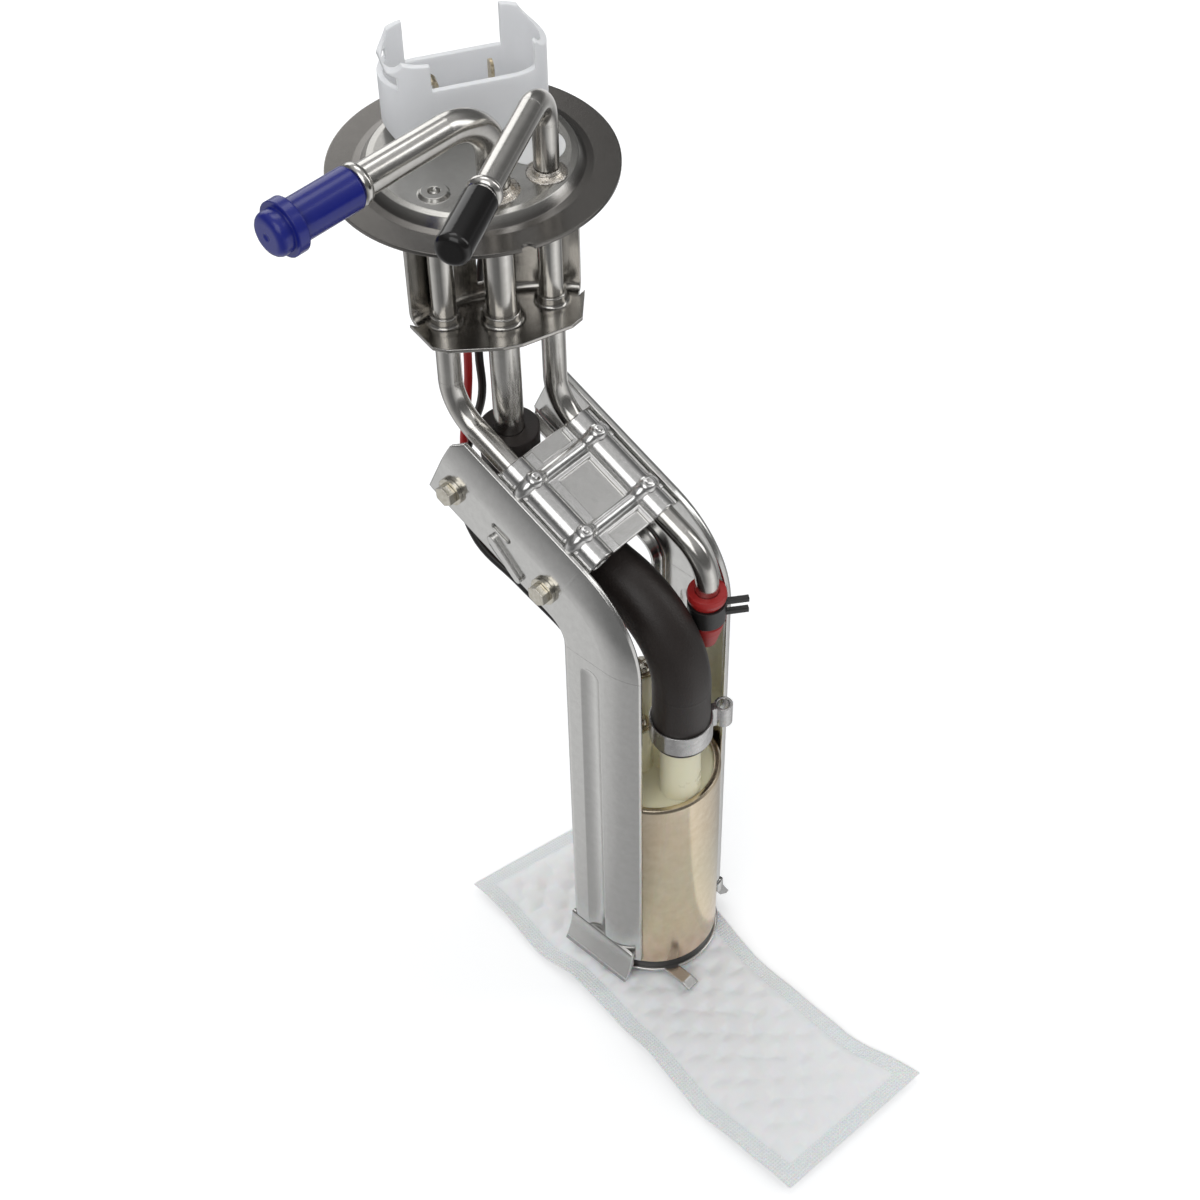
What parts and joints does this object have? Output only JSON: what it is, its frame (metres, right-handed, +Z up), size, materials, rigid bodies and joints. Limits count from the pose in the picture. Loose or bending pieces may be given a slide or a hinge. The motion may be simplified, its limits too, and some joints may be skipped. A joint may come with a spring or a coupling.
{
  "type": "fuel pump module",
  "caption": "In-tank fuel pump hanger: round flange, bent feed and return tubes, sloping saddle, two arms gripping an electric pump, rubber hose and cloth strainer.",
  "frame": {"origin": "centre of the flange's seat, on its underside", "axes": "+Z up out of the tank along the hanger, -Y towards the side that the pump steps out to, +X from the screwed arm to the welded arm"},
  "size_m": [0.1093, 0.1939, 0.2911],
  "materials": {
    "flange_zinc": "dull dark grey zinc passivate, brushed",
    "label_blank": "matte blank sticker",
    "tube_steel": "bright drawn steel",
    "braze": "rough braze metal",
    "nylon_white": "milky nylon",
    "terminal_brass": "tarnished tin-brass",
    "seal_rubber": "potting resin",
    "bracket_zinc": "satin dark zinc",
    "cap_blue": "soft satin vinyl",
    "cap_black": "glossy vinyl",
    "saddle_zinc": "bright rolled zinc, speckled in the valleys",
    "arm_zinc": "satin zinc sheet",
    "screw_zinc": "yellowish zinc",
    "hose_rubber": "matte moulded rubber",
    "clamp_steel": "satin spring steel",
    "boot_red": "soft red silicone",
    "clamp_black": "black nylon band",
    "can_gold": "gold-pink passivated steel",
    "acetal_cream": "cream acetal",
    "carbon": "pressed carbon",
    "spring_steel": "spring wire",
    "winding": "varnished copper and iron",
    "ferrite": "sintered ferrite",
    "bearing_bronze": "oiled bronze",
    "impeller_dark": "phenolic",
    "cast_alloy": "fine cast",
    "valve_green": "fuel rubber",
    "seal_black": "moulded rubber",
    "sock_cloth": "white woven nylon filter cloth",
    "wire_red": "red wire cover",
    "wire_black": "black wire cover"
  },
  "bodies": {
    "hanger": {"flange_plate": "flange_zinc", "label_disc": "label_blank", "feed_tube": "tube_steel", "return_tube": "tube_steel", "support_tube": "tube_steel", "braze_rings": "braze", "connector_shroud": "nylon_white", "connector_terminals": "terminal_brass", "terminal_seal": "seal_rubber", "spacer_bracket": "bracket_zinc", "saddle_clamp": "saddle_zinc", "rear_bracket": "arm_zinc", "left_arm": "arm_zinc", "arm_screws": "screw_zinc", "arm_washers": "screw_zinc", "pump_hose": "hose_rubber", "hose_clamp": "clamp_steel", "return_boot": "boot_red", "boot_clamp": "clamp_black", "pump_can": "can_gold", "pump_end_cap": "acetal_cream", "terminal_screws": "screw_zinc", "ring_terminals": "terminal_brass", "brushes": "carbon", "brush_springs": "spring_steel", "magnets": "ferrite", "shaft_bearings": "bearing_bronze", "chamber_plate": "cast_alloy", "inlet_cover": "cast_alloy", "check_spring": "spring_steel", "relief_spring": "spring_steel", "pump_isolator": "seal_black", "pump_cradle": "arm_zinc", "strainer_neck": "nylon_white", "strainer_frame": "nylon_white", "strainer_clip": "spring_steel", "strainer_sock": "sock_cloth", "red_wire": "wire_red", "black_wire": "wire_black"},
    "feed_cap": {"blue_cap": "cap_blue"},
    "return_cap": {"black_cap": "cap_black"},
    "rotor": {"armature_shaft": "spring_steel", "armature_core": "winding", "commutator": "terminal_brass", "impeller": "impeller_dark"},
    "outlet_valve": {"check_valve": "valve_green"},
    "relief_ball": {"relief_valve": "spring_steel"}
  },
  "joints": [
    {"name": "blue_cap_pull", "type": "slide", "parent": "hanger", "child": "feed_cap", "axis": [-0.9997, 0.0262, 0], "range_m": [0, 0.03]},
    {"name": "black_cap_pull", "type": "slide", "parent": "hanger", "child": "return_cap", "axis": [-0.9023, -0.4311, 0], "range_m": [0, 0.025]},
    {"name": "rotor_spin", "type": "hinge", "parent": "hanger", "child": "rotor", "pos_m": [-0.006, -0.0647, -0.2], "axis": [0, 0, 1], "continuous": true},
    {"name": "check_valve_lift", "type": "slide", "parent": "hanger", "child": "outlet_valve", "axis": [0, 0, 1], "range_m": [0, 0.0015], "stiffness_N_per_m": 40, "springref_m": -0.002, "deforming": ["check_spring"]},
    {"name": "relief_valve_lift", "type": "slide", "parent": "hanger", "child": "relief_ball", "axis": [0, 0, -1], "range_m": [0, 0.0006], "stiffness_N_per_m": 60, "springref_m": -0.0015, "deforming": ["relief_spring"]}
  ]
}
